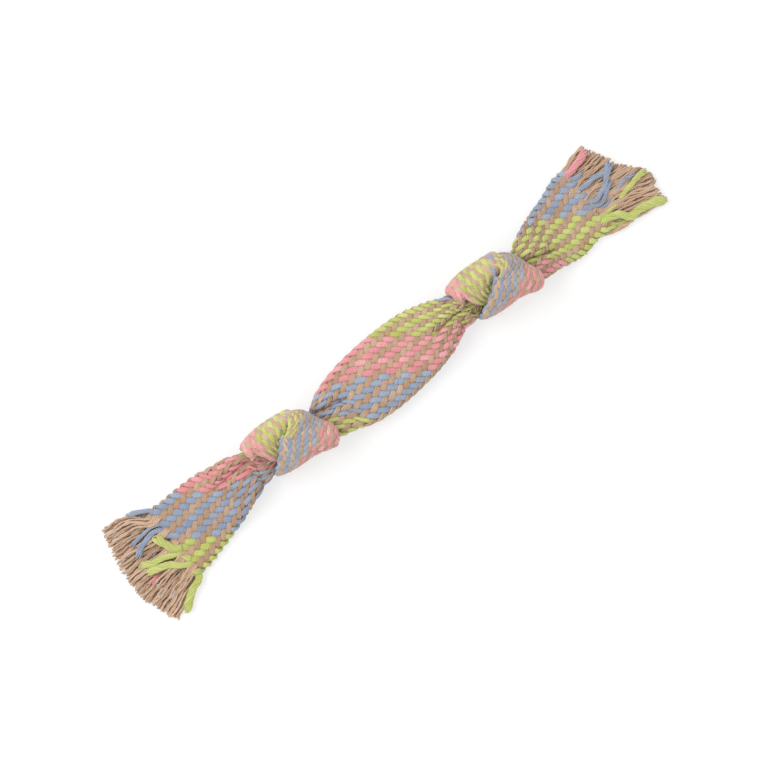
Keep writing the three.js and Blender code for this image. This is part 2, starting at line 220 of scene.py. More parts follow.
@dataclass(frozen=True)
class YarnFinish:
    """The look of one yarn, dyed or undyed, with its plies and the fibres on them.

    The pattern follows the piece's own map, where one unit along or around is a millimetre.
    What isn't given is a soft cotton yarn's.

    Attributes:
        name: The material's name.
        hollow: The dark colour that the painted shade in hollows and grooves and the fibre streaks
            mix in, and body and crown the colours over them.
        ply_spacing: The distance from ply to ply along the yarn.
        ply_lean: How far a ply goes along the yarn for each millimetre that it goes round.
        ply_depth: The depth of the grooves between the plies.
        fibre_length: The length of a streak, and fibre_width its width.
        patches_per_mm: How closely the patches of dye follow each other.
        fuzz: How much loose fibre lightens its edges.
    """

    name: str
    hollow: int
    body: int
    crown: int
    ply_spacing: float = 1.5
    ply_lean: float = 0.8
    ply_depth: float = 0.14
    fibre_length: float = 4.0
    fibre_width: float = 0.25
    patches_per_mm: float = 0.22
    fuzz: float = 0.25
    roughness: float = 0.88

    def material(self) -> bpy.types.Material:
        """Makes the material with its nodes.

        Returns:
            The finished material.
        """
        material = bpy.data.materials.new(self.name)
        material.use_nodes = True
        tree = material.node_tree
        tree.nodes.clear()
        hollow, body, crown = map(hex_to_linear, (self.hollow, self.body, self.crown))
        place = add_node(tree, "UVMap", uv_map="yarn")
        split = add_node(tree, "SeparateXYZ", {"Vector": place}).outputs
        # Plies: slanted ridges across the yarn
        lean = calculate(tree, "MULTIPLY", split["Y"], self.ply_lean)
        run = calculate(tree, "ADD", split["X"], lean)
        turn = calculate(tree, "MULTIPLY", run, TAU / self.ply_spacing)
        wave = calculate(tree, "SINE", turn)
        ply = map_range(tree, wave, (-1.0, 1.0))
        # Fibres: long thin streaks along the yarn
        stretch = add_node(tree, "Mapping", {
            "Vector": place, "Scale": (1 / self.fibre_length, 1 / self.fibre_width, 1.0)})
        fibres = add_node(tree, "TexNoise", {
            "Vector": stretch, "Scale": 1.0, "Detail": 3.0, "Roughness": 0.6})
        # Dye that took unevenly, in patches a few millimetres long and from yarn to yarn, plus the
        # tone attribute, which on the left tail carries painted shade
        patches = add_node(tree, "TexNoise", {
            "Vector": place, "Scale": self.patches_per_mm, "Detail": 2.0})
        tone = add_node(tree, "Attribute", attribute_name="tone").outputs["Fac"]
        dye = calculate(tree, "ADD", patches, tone)
        colour = mix_colours(tree, map_range(tree, dye, (0.55, 1.45)), body, crown)
        streak = map_range(tree, fibres, (0.35, 0.65), (0.0, 0.3))
        streaked = mix_colours(tree, streak, colour, hollow)
        # Painted shade: the hollows between plies and between stitches, and pleats, are darkened
        # towards the hollow colour
        depth = add_node(tree, "Attribute", attribute_name="depth").outputs["Fac"]
        ply_groove_painted_shade = map_range(tree, ply, (0.0, 0.55), (0.3, 0.0))
        hollow_painted_shade = map_range(tree, depth, (0.1, 0.8), (0.75, 0.0))
        shade = calculate(tree, "MAXIMUM", ply_groove_painted_shade, hollow_painted_shade)
        final = mix_colours(tree, shade, streaked, hollow)
        rise = calculate(tree, "ADD", ply, fibres)
        bump = add_node(tree, "Bump", {
            "Height": rise, "Strength": 0.55, "Distance": self.ply_depth * MM})
        shader = add_node(tree, "BsdfPrincipled", {
            "Base Color": final, "Roughness": self.roughness, "Specular IOR Level": 0.2,
            "Sheen Weight": self.fuzz, "Sheen Roughness": 0.6, "Normal": bump})
        add_node(tree, "OutputMaterial", {"Surface": shader})
        return material


FINISHES = {
    # Undyed hemp twine: dull and warm, with hard narrow plies that catch little light
    Yarn.HEMP: YarnFinish(
        "undyed_hemp_twine", 0x86674E, 0xBC9B80, 0xDABDA3, ply_spacing=1.3, ply_lean=0.9,
        ply_depth=0.16, fibre_length=3.0, fibre_width=0.22, fuzz=0.10, roughness=0.92),
    # Soft dyed cotton, with a slight bloom from loose fibre
    Yarn.PINK: YarnFinish("pink_dyed_cotton", 0xAE6468, 0xD78A8E, 0xE5ACAD),
    Yarn.GREEN: YarnFinish("green_dyed_cotton", 0x868D38, 0xAEB65A, 0xCDD286),
    Yarn.BLUE: YarnFinish("blue_dyed_cotton", 0x606E84, 0x8893A8, 0xA6B0C0),
}


@dataclass
class Wardrobe:
    """The materials of the yarns, each made once."""

    made: dict[Yarn, bpy.types.Material] = field(default_factory=dict)

    def dress(self, piece: Piece, yarn: Yarn) -> None:
        """Gives a piece its yarn's material.

        Args:
            piece: The piece to dress.
            yarn: The yarn that it is made of.
        """
        if yarn not in self.made:
            self.made[yarn] = FINISHES[yarn].material()
        piece.data.materials.append(self.made[yarn])


# Meshes of yarn


@dataclass
class Strand:
    """One closed tube of rings, with its own map and its depth in the braid.

    Attributes:
        rings: Points in millimetres, by ring and by side.
        along: The distance along the yarn at each ring.
        girth: The length once round the yarn.
        depth: How far out each point lies, from 0 at the bottom of a hollow to 1 on a crown, which
            sets how much painted shade the material gives it.
        tone: The yarn's own shade, around 0.5, with its stretch's shift added, which on the left tail
            is painted shade.
    """

    rings: Array
    along: Array
    girth: float
    depth: Array
    tone: float


# How far apart in the pattern two yarns lie whose tones differ by 1, so that no two look alike
MAP_SHIFT = 97.0


def write_strands(name: str, strands: list[Strand]) -> Piece:
    """Makes one piece from closed tubes.

    Args:
        name: The piece's name.
        strands: The tubes.

    Returns:
        The piece, at the origin, with its place in its mesh.
    """
    points, quads, caps, quad_map, cap_map, depth, tone = [], [], [], [], [], [], []
    first = 0
    for strand in strands:
        count, sides, _ = strand.rings.shape
        points.append(strand.rings.reshape(-1, 3))
        points.append(strand.rings[[0, -1]].mean(axis=1))
        depth.append(np.append(strand.depth.ravel(), strand.depth[[0, -1]].mean(axis=1)))
        tone.append(np.full(count * sides + 2, strand.tone))
        ring, side = np.meshgrid(np.arange(count - 1), np.arange(sides), indexing="ij")
        a = first + ring * sides + side
        b = first + ring * sides + (side + 1) % sides
        quads.append(np.stack([a, b, b + sides, a + sides], axis=-1).reshape(-1, 4))
        around = np.arange(sides + 1) * strand.girth / sides + strand.tone * MAP_SHIFT
        near, far = strand.along[ring], strand.along[ring + 1]
        low, high = around[side], around[side + 1]
        corners = [near, low, near, high, far, high, far, low]
        quad_map.append(np.stack(corners, axis=-1).reshape(-1, 2))
        k = np.arange(sides)
        start, end = first + count * sides, first + count * sides + 1
        last = first + (count - 1) * sides
        caps.append(np.stack([np.full(sides, start), first + (k + 1) % sides, first + k], axis=-1))
        caps.append(np.stack([np.full(sides, end), last + k, last + (k + 1) % sides], axis=-1))
        for place in strand.along[[0, -1]]:
            cap_map.append(np.tile([place, around[0]], (3 * sides, 1)))
        first += count * sides + 2
    vertices = np.vstack(points) * MM
    vertices[:, 2] = np.maximum(vertices[:, 2], 0.0)
    mesh = bpy.data.meshes.new(name)
    mesh.from_pydata(vertices.tolist(), [], np.vstack(quads).tolist() + np.vstack(caps).tolist())
    layer = mesh.uv_layers.new(name="yarn")
    layer.data.foreach_set("uv", np.vstack(quad_map + cap_map).astype(np.float32).ravel())
    for label, values in (("depth", depth), ("tone", tone)):
        attribute = mesh.attributes.new(label, "FLOAT", "POINT")
        attribute.data.foreach_set("value", np.concatenate(values).astype(np.float32))
    mesh.polygons.foreach_set("use_smooth", np.ones(len(mesh.polygons), dtype=bool))
    mesh.update()
    piece = bpy.data.objects.new(name, mesh)
    bpy.context.scene.collection.objects.link(piece)
    return piece


def flat_profile(sides: int) -> Array:
    """A plump oval outline, as width and height shares from -1 to 1."""
    angle = TAU * np.arange(sides) / sides
    wide = np.sign(np.cos(angle)) * np.abs(np.cos(angle)) ** 0.8
    tall = np.sign(np.sin(angle)) * np.abs(np.sin(angle)) ** 0.8
    return np.stack([wide, tall], axis=1)


def bundle_profile() -> Array:
    """The outline of three twines side by side, as width and height shares from -1 to 1."""
    return np.array([
        [1.00, 0.00], [0.68, 0.92], [0.34, 0.42], [0.00, 1.00], [-0.34, 0.42], [-0.68, 0.92],
        [-1.00, 0.00], [-0.68, -0.92], [-0.34, -0.42], [0.00, -1.00], [0.34, -0.42], [0.68, -0.92]])


# How much of its depth each point of that outline keeps, which paints dark lines of shade between the
# twines
BUNDLE_HOLLOWS = np.array([0.75, 1.0, 0.55, 1.0, 0.55, 1.0, 0.75, 1.0, 0.55, 1.0, 0.55, 1.0])


# The route of the tube

# One overhand knot, from its left neck to its right neck: the middle of the tube in shares of the
# neck length, the height and the depth, the way its width points, and its half width and half
# thickness in shares of the flat tube's.
KNOT_ROUTE_SHARES = np.array([
    [-0.49, 0.00, -0.09, 0.00, -1.00, 0.00, 0.56, 1.47],
    [-0.44, 0.00, -0.09, 0.00, -1.00, -0.06, 0.50, 1.43],
    [-0.38, -0.03, -0.08, 0.10, -0.98, -0.20, 0.46, 1.36],
    [-0.23, -0.04, -0.09, 0.20, -0.79, -0.58, 0.36, 1.22],
    [-0.08, 0.06, -0.12, 0.29, -0.68, -0.68, 0.28, 1.18],
    [0.10, 0.18, -0.03, 0.45, -0.54, -0.71, 0.33, 1.40],
    [0.235, 0.22, 0.18, 0.61, -0.44, -0.66, 0.36, 1.25],
    [0.26, 0.05, 0.33, 0.57, -0.60, -0.56, 0.55, 1.55],
    [0.23, -0.115, 0.38, 0.90, -0.42, -0.12, 0.70, 1.42],
    [0.045, -0.33, 0.12, 0.97, -0.11, -0.19, 0.81, 0.90],
    [-0.01, -0.29, -0.24, 0.98, 0.07, -0.21, 0.76, 0.93],
    [-0.06, 0.00, -0.41, 0.94, 0.33, 0.01, 0.70, 0.97],
    [-0.11, 0.28, -0.27, 0.98, 0.00, 0.12, 0.71, 0.97],
    [-0.13, 0.395, 0.06, 1.00, -0.02, 0.02, 0.73, 0.97],
    [-0.08, 0.24, 0.31, 0.97, 0.12, 0.02, 0.78, 0.97],
    [-0.09, 0.05, 0.25, 0.78, 0.62, 0.00, 0.45, 1.02],
    [0.09, -0.10, 0.03, 0.35, 0.93, 0.10, 0.27, 1.50],
    [0.33, -0.09, -0.08, 0.00, 1.00, -0.01, 0.34, 1.37],
    [0.38, -0.08, -0.10, 0.00, 1.00, 0.01, 0.45, 1.43],
    [0.44, -0.08, -0.09, 0.00, 1.00, 0.00, 0.57, 1.47],
])

KNOTS = ("left_knot", "right_knot")
KNOT_END = len(KNOT_ROUTE_SHARES) - 1

# What the right knot's rows have on top of that: its upper folds meet in a lower and flatter crease
RIGHT_KNOT_CHANGES = {
    7: (0.015, -0.055, 0, 0, 0.06, 0, -0.08, 0),
    8: (0.015, -0.045, 0, 0.05, 0.12, 0, -0.09, 0),
    9: (-0.005, 0.01, 0, 0, 0.04, 0, -0.03, 0),
    14: (0.012, -0.051, 0, 0, 0, 0, 0, 0),
    15: (0.012, -0.051, 0, 0, 0, 0, 0, 0),
}

# A flat stretch: the share of its length, the sideways place in shares of the flat width, how much
# of the way up to the neck it lies, and its half width and half thickness.
POD_ROUTE_SHARES = np.array([
    [0.00, -0.03, 1.00, 0.59, 1.32],
    [0.11, -0.02, 0.80, 0.73, 1.60],
    [0.21, -0.03, 0.50, 0.85, 1.90],
    [0.37, -0.03, 0.14, 0.93, 2.25],
    [0.50, -0.02, 0.02, 0.94, 2.35],
    [0.62, -0.01, 0.12, 0.92, 2.25],
    [0.79, 0.00, 0.48, 0.84, 1.90],
    [0.90, 0.00, 0.80, 0.72, 1.60],
    [1.00, 0.01, 1.00, 0.58, 1.32],
])
LEFT_TAIL_ROUTE_SHARES = np.array([
    [0.00, 0.03, 1.00, 0.58, 1.30],
    [0.11, 0.03, 0.86, 0.66, 1.38],
    [0.28, 0.01, 0.46, 0.77, 1.30],
    [0.45, 0.00, 0.16, 0.87, 1.22],
    [0.74, -0.04, 0.00, 0.98, 1.16],
    [0.92, -0.07, 0.00, 1.03, 1.14],
    [1.00, -0.07, 0.00, 1.04, 1.13],
])
RIGHT_TAIL_ROUTE_SHARES = np.array([
    [0.00, -0.06, 1.00, 0.59, 1.30],
    [0.12, -0.04, 0.84, 0.66, 1.38],
    [0.28, -0.01, 0.46, 0.74, 1.30],
    [0.46, 0.00, 0.16, 0.85, 1.22],
    [0.67, 0.02, 0.00, 0.93, 1.18],
    [0.80, 0.06, 0.00, 0.96, 1.16],
    [0.92, 0.09, 0.00, 0.98, 1.14],
    [1.00, 0.09, 0.00, 0.99, 1.13],
])

# How far the coloured yarns have wound on, in degrees, at a row of a part of the route. It puts
# each colour where it shows on the tails, knots and pod.
WINDS = (
    ("left_cut", 0, 9.4), ("left_tail", 4, 136.0),
    ("left_knot", 0, 174.0), ("left_knot", 2, 184.0), ("left_knot", 6, 305.0),
    ("left_knot", 8.5, 415.0), ("left_knot", 13.7, 635.0), ("left_knot", 19, 749.7),
    ("pod", 0, 773.0), ("pod", 1, 794.0), ("pod", 2, 827.0), ("pod", 3, 858.0),
    ("pod", 4, 890.0), ("pod", 5, 937.0), ("pod", 6, 969.0),
    ("right_knot", 0, 1001.0), ("right_knot", 6, 1140.0), ("right_knot", 8.5, 1236.0),
    ("right_knot", 13.8, 1416.65), ("right_knot", 19, 1529.0), ("right_cut", 0, 1689.3),
)

# How far the whole tube turns between two rows, in degrees, on top of its twist at the left cut
FIRST_TWIST = 15.5
TWISTS = (
    (("left_knot", 1.5), ("left_knot", 6.5), -63.0),
    (("left_knot", 9.5), ("left_knot", 12.5), -76.5),
    (("left_knot", 15.0), ("left_knot", 17.5), 4.5),
    (("right_knot", 1.5), ("right_knot", 6.5), -199.0),
    (("right_knot", 9.5), ("right_knot", 12.5), -17.0),
    (("right_knot", 15.2), ("right_knot", 17.6), 191.5),
    (("left_tail", 3.5), ("left_knot", 1), -25.0),
)


@dataclass
class Stations:
    """Cross-sections along the tube, in millimetres.

    Attributes:
        reach: The distance along the tube.
        centre: The middle of each section.
        across: The way that its width points.
        up: The way that its thickness points.
        half_width: Half its width.
        half_thickness: Half its thickness.
        wind: How far the coloured yarns have wound on, and the hemp ones back, in degrees.
        twist: How far the whole tube has turned, in degrees.
        tightness: How tightly a knot holds the tube, from 0 in the flat stretches to 1 in a knot.
        crowding: How much closer the yarns lie on the outer side than on the inner one.
        outside: The ring angle in degrees that looks out of the knot, or up.
    """

    reach: Array
    centre: Array
    across: Array
    up: Array
    half_width: Array
    half_thickness: Array
    wind: Array
    twist: Array
    tightness: Array
    crowding: Array
    outside: Array


@dataclass
class KnottedTube:
    """The braided tube's route from its left cut to its right cut, in millimetres.

    Attributes:
        cut_length: How far the tube goes on past its last row, under the loose ends.
        stand_flat: How much of its height it loses where it stands.
        left_knot_offset: How far the left neck lies to the side of the toy's middle.
        right_knot_pull: How far the inside of the right knot is pulled to one side.
        pull_rows: The rows of the knot between which that pull sets in, and those where it ends.
        hold_rows: The rows between which a knot takes hold of the tube, and lets go of it.
        knot_crowding: How much closer the yarns lie on a knot's outer side.
        tail_spreading: How much further apart they lie on the upper side of a tail.
        spacing: The distance from station to station.
        reach_of: The distance along the tube at each row, by its part and number.
    """

    flat_width: float = 42.0
    flat_thickness: float = 6.0
    knot_route_length: float = 53.0
    knot_height: float = 34.0
    knot_depth: float = 32.0
    pod_length: float = 83.0
    left_tail_length: float = 51.0
    right_tail_length: float = 41.5
    cut_length: float = 3.3
    stand_flat: float = 0.35
    left_knot_offset: float = 1.3
    right_knot_pull: tuple[float, float, float] = (1.7, -1.2, 0.0)
    pull_rows: tuple[float, ...] = (1.0, 5.0, 14.0, 17.0)
    hold_rows: tuple[float, ...] = (3, 6.5, 15, 17)
    knot_crowding: float = 0.22
    tail_spreading: float = 0.12
    spacing: float = 0.8
    reach_of: dict[str, float] = field(default_factory=dict)

    def neck(self, joint: str) -> Array:
        """The place of a neck's hinge in millimetres."""
        found = next(j for j in frame["joints"] if j["name"] == joint)
        return np.array(found["pos_m"], dtype=float) / MM

    def stretch(self, shares: Array, start: Array, length: float, middle: float) -> Array:
        """Rows of one flat stretch.

        Args:
            shares: The stretch's table.
            start: The neck that it starts from.
            length: Its length, negative towards the left.
            middle: The sideways place of the toy's middle.

        Returns:
            Rows of place, width direction, half width and half thickness.
        """
        half_thickness = shares[:, 4] * self.flat_thickness / 2
        resting = half_thickness - self.stand_flat
        rows = np.zeros((len(shares), 8))
        rows[:, 0] = start[0] + shares[:, 0] * length
        rows[:, 1] = middle + shares[:, 1] * self.flat_width
        rows[:, 2] = resting + (start[2] - resting) * shares[:, 2]
        rows[:, 4] = 1.0
        rows[:, 6] = shares[:, 3] * self.flat_width / 2
        rows[:, 7] = half_thickness
        return rows

    def knot(self, left_neck: Array, changes: dict[int, tuple[float, ...]]) -> Array:
        """Rows of one knot, from its left neck on.

        Args:
            left_neck: The place of its left neck.
            changes: What is added to some rows of the knot's table, by the row's number.

        Returns:
            One row for each row of the knot's table.
        """
        first = KNOT_ROUTE_SHARES[0, :3]
        scale = np.array([self.knot_route_length, self.knot_height, self.knot_depth])
        rows = KNOT_ROUTE_SHARES.copy()
        for number, change in changes.items():
            rows[number] += change
        rows[:, :3] = left_neck + (rows[:, :3] - first) * scale
        rows[:, 6] *= self.flat_width / 2
        rows[:, 7] *= self.flat_thickness / 2
        return rows

    def rows(self) -> Array:
        """All rows from the left cut to the right one; the place of each is kept in reach_of."""
        necks = [self.neck(name) for name in (
            "left_outer_neck", "left_inner_neck", "right_inner_neck", "right_outer_neck")]
        middle = necks[0][1] - self.left_knot_offset
        left_tail = self.stretch(
            LEFT_TAIL_ROUTE_SHARES, necks[0], -self.left_tail_length, middle)[1:][::-1]
        right_tail = self.stretch(
            RIGHT_TAIL_ROUTE_SHARES, necks[3], self.right_tail_length, middle)[1:]
        pod = self.stretch(POD_ROUTE_SHARES, necks[1], self.pod_length, middle)[1:-1]
        left_cut, right_cut = left_tail[:1].copy(), right_tail[-1:].copy()
        left_cut[0, 0] -= self.cut_length
        right_cut[0, 0] += self.cut_length
        left_knot, right_knot = self.knot(necks[0], {}), self.knot(necks[2], RIGHT_KNOT_CHANGES)
        pull = rise_and_fall(np.arange(len(right_knot)), self.pull_rows)
        right_knot[:, :3] += pull[:, None] * np.array(self.right_knot_pull)
        # The width keeps one sense from cut to cut, so it turns over where a knot turns the tube
        for part in (left_cut, left_tail, right_knot, right_tail, right_cut):
            part[:, 3:6] *= -1
        parts = {"left_cut": left_cut, "left_tail": left_tail, "left_knot": left_knot, "pod": pod,
                 "right_knot": right_knot, "right_tail": right_tail, "right_cut": right_cut}
        rows = np.vstack(list(parts.values()))
        reach = lengths_along(rows[:, :3])
        names = (f"{name}_{index}" for name, part in parts.items() for index in range(len(part)))
        self.reach_of = dict(zip(names, reach.tolist()))
        return rows

    def place(self, part: str, row: float) -> float:
        """The distance along the tube at a row, or between two rows, of one of its parts."""
        low = int(row)
        near = self.reach_of[f"{part}_{low}"]
        far = self.reach_of.get(f"{part}_{low + 1}", near)
        return near + (far - near) * (row - low)

    def stations(self) -> Stations:
        """Finds the cross-sections.

        Returns:
            The sections, evenly spaced along the tube.
        """
        rows = self.rows()
        places = lengths_along(rows[:, :3])
        reach = np.linspace(0.0, places[-1], round(places[-1] / self.spacing) + 1)
        smooth = smooth_rows(rows, places, reach)
        centre = smooth[:, :3]
        along = unit(np.gradient(centre, axis=0))
        (left, left_end), (right, right_end) = (
            (self.place(knot, 0), self.place(knot, KNOT_END)) for knot in KNOTS)
        # The flat stretches fan out without turning, so their yarns keep an even pace at both edges
        flat = (reach < left) | (reach > right_end) | ((reach > left_end) & (reach < right))
        along[flat, 1] = 0.0
        along = unit(along)
        across = square_to(along, smooth[:, 3:6])
        up = np.cross(along, across)
        winds = np.array([[self.place(part, row), angle] for part, row, angle in WINDS])
        wind = smooth_rows(winds[:, 1:], winds[:, 0], reach)[:, 0]
        twist = np.full(len(reach), FIRST_TWIST)
        for start, end, angle in TWISTS:
            twist += angle * smooth_step(reach, self.place(*start), self.place(*end))
        tightness = np.zeros(len(reach))
        for knot in KNOTS:
            tightness += rise_and_fall(reach, [self.place(knot, row) for row in self.hold_rows])
        left_flat = 1 - smooth_step(reach, self.place("left_tail", 3), left)
        right_flat = smooth_step(reach, right_end, self.place("right_tail", 3))
        crowding = self.knot_crowding * tightness - self.tail_spreading * (left_flat + right_flat)
        # The width is turned over between the knots, so the outer side is the other one
        outside = np.where((reach > left) & (reach < right), 90.0, 270.0)
        return Stations(reach, centre, across, up, smooth[:, 6], smooth[:, 7],
                        wind, twist, tightness, crowding, outside)


# The braid


@dataclass(frozen=True)
class Crease:
    """A pleat in the upper side of the tube, between two places of the toy's plan, in millimetres.

    Attributes:
        start: Where it starts, at its deep end.
        end: Where it runs out.
        depth: How deep it is.
        width: Half its width.
        roll: How high the folds beside it stand.
        roll_place: How far from its middle they stand, and roll_width how wide they are, both in
            shares of its own half width.
        fade: The shares of its length between which it sets in, and those where it runs out.
    """

    start: tuple[float, float]
    end: tuple[float, float]
    depth: float = 2.4
    width: float = 1.5
    roll: float = 1.3
    roll_place: float = 2.2
    roll_width: float = 1.2
    fade: tuple[float, ...] = (0.0, 0.35, 0.8, 1.0)

    def press(self, section: Stations, x: Array, y: Array) -> tuple[Array, Array]:
        """Presses the pleat into the tube's rings and raises the folds beside it.

        Args:
            section: The cross-sections.
            x: Places across each ring.
            y: Places up each ring.

        Returns:
            The new places up, and how deep in the pleat each lies, from 0 to 1.
        """
        share = (section.centre[:, 0] - self.start[0]) / (self.end[0] - self.start[0])
        # It lies in the flat stretches only, where the width points sideways and no knot grips
        flat = (np.abs(section.across[:, 1]) > 0.9) * (section.tightness < 0.01)
        hold = (rise_and_fall(share, self.fade) * flat)[:, None]
        plan_y = self.start[1] + (self.end[1] - self.start[1]) * np.clip(share, 0, 1)
        middle = (plan_y - section.centre[:, 1]) * np.sign(section.across[:, 1])
        upper = np.sign(section.up[:, 2])[:, None]
        off = np.abs(x - middle[:, None]) / self.width
        dip = np.exp(-off * off) * hold
        beside = np.exp(-((off - self.roll_place) / self.roll_width) ** 2) * hold
        lift = self.roll * beside - self.depth * dip
        on_top = y * upper > 0
        pressed = y + upper * np.maximum(lift, -0.95 * np.abs(y))
        return np.where(on_top, pressed, y), np.where(on_top, dip, 0.0)


@dataclass
class YarnPath:
    """One yarn of the braid from cut to cut, in millimetres.

    Attributes:
        yarn: What it is made of.
        number: Its number among the yarns that wind the same way.
        points: Its middle at each station.
        normal: The way out of the wall there.
        width: Its width there.
        thickness: Its thickness there.
        crown: How far out it lies, from -1 under the others to 1 on top.
        pleat: How deep in a pleat it lies, from 0 to 1.
        tone: Its own shade.
    """

    yarn: Yarn
    number: int
    points: Array
    normal: Array
    width: Array
    thickness: Array
    crown: Array
    pleat: Array
    tone: float


@dataclass
class Braid:
    """A tube of yarns, half of them winding each way, two over and two under.

    Attributes:
        tube: The route that it follows.
        wardrobe: The materials.
        yarns_each_way: Its coloured yarns, and as many of hemp; what isn't pink or blue is green.
        wall: The thickness of its wall, up to wall_share of the room that there is.
        section_power: How square its cross-section is, from 2 for an oval on.
        fill: The width of a yarn in shares of its room, and knot_fill the same in a knot.
        knot_calm: How much flatter the yarns weave in a knot.
        knot_bow: How far the wrap's edges curve in, in millimetres.
        plumpness: The thickness of a yarn in shares of half the wall.
        crown_softness: How softly a yarn dives under the others.
        width_limits: The least and most room that a yarn takes, in millimetres.
        crown_gain: How much wider a yarn is on top of the others.
        girth_share: The way round a yarn in shares of its width and thickness together.
        press_fill: How much of the painted shade in the hollows between stitches a knot takes away,
            as they close up.
        press_twines: How much of the painted shade between the twines of a yarn it takes away.
        fibre_share: The share of places on a crown where a loose fibre stands.
        fibre_crown: The least crown where one may stand.
        fibre_lengths: The least and most length of a fibre, in millimetres.
        fibre_lean: The least and most that it leans out of the yarn.
        fibre_bend: How far its end bends away, in shares of its length.
        fibre_root: How far out of the yarn's middle it starts, in shares of the yarn's thickness.
        fibre_taper: How much thinner it is at its end.
        left_tail_shade: How much lighter the left tail is, a painted shade that darkens the whole
            tail, and knot_hemp_shade how much lighter the knots' hemp is.
        bend_reach: A distance in millimetres to each side of a neck's hinge; it is not used.
    """

    tube: KnottedTube
    wardrobe: Wardrobe
    yarns_each_way: int = 24
    pink_yarns: int = 7
    blue_yarns: int = 8
    wall: float = 3.2
    wall_share: float = 0.96
    section_power: float = 2.5
    fill: float = 1.08
    knot_fill: float = 1.32
    knot_calm: float = 0.35
    knot_bow: float = 1.8
    plumpness: float = 1.16
    crown_softness: float = 0.3
    width_limits: tuple[float, float] = (0.8, 4.2)
    crown_gain: float = 0.08
    girth_share: float = 1.6
    press_fill: float = 0.8
    press_twines: float = 0.6
    ring_steps: int = 720
    cotton_sides: int = 10
    fibre_share: float = 0.22
    fibre_crown: float = 0.5
    fibre_radius: float = 0.06
    fibre_lengths: tuple[float, float] = (0.8, 2.2)
    fibre_lean: tuple[float, float] = (0.2, 0.8)
    fibre_bend: float = 0.35
    fibre_root: float = 0.4
    fibre_taper: float = 0.6
    fibre_rings: int = 5
    fibre_girth: float = 0.4
    left_tail_shade: float = -0.25
    knot_hemp_shade: float = 0.3
    bend_reach: float = 5.0
    creases: tuple[Crease, ...] = (
        Crease((-113.0, 9.6), (-76.0, 10.4)),
        Crease((-22.0, 3.0), (-46.0, 9.0)),
        Crease((27.0, 1.0), (60.0, 4.5)),
        Crease((112.0, -4.5), (84.0, 5.5)),
    )
    section: Stations | None = None
    ring_places: Array | None = None
    ring_normals: Array | None = None
    ring_pleats: Array | None = None
    paths: list[YarnPath] = field(default_factory=list)

    def colour_of(self, number: int) -> Yarn:
        """The colour of a coloured yarn."""
        place = (number - 1) % self.yarns_each_way
        if place < self.pink_yarns:
            return Yarn.PINK
        return Yarn.BLUE if place < self.pink_yarns + self.blue_yarns else Yarn.GREEN

    def lay_rings(self) -> None:
        """Finds the middle of the tube's wall round each ring, at even steps from yarn to yarn."""
        s = self.section
        wall = np.minimum(self.wall, self.wall_share * s.half_thickness)
        a = (s.half_width - wall / 2)[:, None]
        b = (s.half_thickness - wall / 2)[:, None]
        turn = np.linspace(0, TAU, self.ring_steps, endpoint=False)[None, :]
        p = 2 / self.section_power
        x = a * np.sign(np.cos(turn)) * np.abs(np.cos(turn)) ** p
        y = b * np.sign(np.sin(turn)) * np.abs(np.sin(turn)) ** p
        pleat = np.zeros_like(x)
        for crease in self.creases:
            y, deep = crease.press(s, x, y)
            pleat = np.maximum(pleat, deep)
        # Where a knot holds the tube, its two edges curve in towards the middle of the knot
        outward = np.sin(np.radians(s.outside)) * s.tightness
        y = y - self.knot_bow * outward[:, None] * (x / a) ** 2
        steps = np.hypot(np.roll(x, -1, axis=1) - x, np.roll(y, -1, axis=1) - y)
        travelled = np.cumsum(steps, axis=1) - steps
        angle = 360.0 * travelled / np.sum(steps, axis=1, keepdims=True)
        # A knot gathers the yarns on its outer side, where they lie closer than on its inner side
        grid = np.arange(-180.0, 180.0)
        gather = np.tanh(3 * np.cos(np.radians(grid + 0.5)))
        gathered = np.concatenate([[0.0], np.cumsum(gather)])
        gathered -= gathered[180]
        away = (angle - s.outside[:, None] + 180.0) % 360.0 - 180.0
        shift = np.interp(away, np.arange(-180.0, 181.0), gathered)
        angle = angle + s.crowding[:, None] * shift
        even = 360.0 * np.arange(self.ring_steps) / self.ring_steps
        x, y, self.ring_pleats = (
            np.array([np.interp(even, own, row, period=360.0) for own, row in zip(angle, rows)])
            for rows in (x, y, pleat))
        flat = np.stack([x, y], axis=-1)
        ahead = unit(np.roll(flat, -2, axis=1) - np.roll(flat, 2, axis=1))
        across, up = s.across[:, None], s.up[:, None]
        self.ring_places = s.centre[:, None] + across * flat[..., :1] + up * flat[..., 1:]
        self.ring_normals = across * ahead[..., 1:] - up * ahead[..., :1]

    def wall_points(self, angles: Array) -> tuple[Array, Array, Array]:
        """Places on the middle of the tube's wall.

        Args:
            angles: An angle in degrees for each station, in even steps from yarn to yarn.

        Returns:
            The places, the ways out of the wall and how deep in a pleat they lie, for each station.
        """
        step = (angles % 360.0) / 360.0 * self.ring_steps
        low = step.astype(int) % self.ring_steps
        high = (low + 1) % self.ring_steps
        share = (step - np.floor(step))[:, None]
        rows = np.arange(len(angles))
        places = self.ring_places[rows, low] * (1 - share) + self.ring_places[rows, high] * share
        normals = self.ring_normals[rows, low] * (1 - share) + self.ring_normals[rows, high] * share
        return places, unit(normals), self.ring_pleats[rows, low]

    def lay(self) -> None:
        """Finds the path of every yarn."""
        self.section = self.tube.stations()
        self.lay_rings()
        s = self.section
        rng = np.random.default_rng(SEED)
        wall = np.minimum(self.wall, self.wall_share * s.half_thickness)
        spread = 360.0 / self.yarns_each_way
        fill = self.fill + (self.knot_fill - self.fill) * s.tightness
        for way in (1, -1):
            for number in range(self.yarns_each_way):
                angles = spread * number + way * s.wind + s.twist
                middle, normal, pleat = self.wall_points(angles)
                wave = np.cos(np.radians(self.yarns_each_way / 2 * (angles - s.twist) - 45.0))
                soft = self.crown_softness
                crown = way * wave * math.sqrt(1 + soft) / np.sqrt(wave * wave + soft)
                lift = wall / 4 * crown * (1 - self.knot_calm * s.tightness)
                points = middle + normal * lift[:, None]
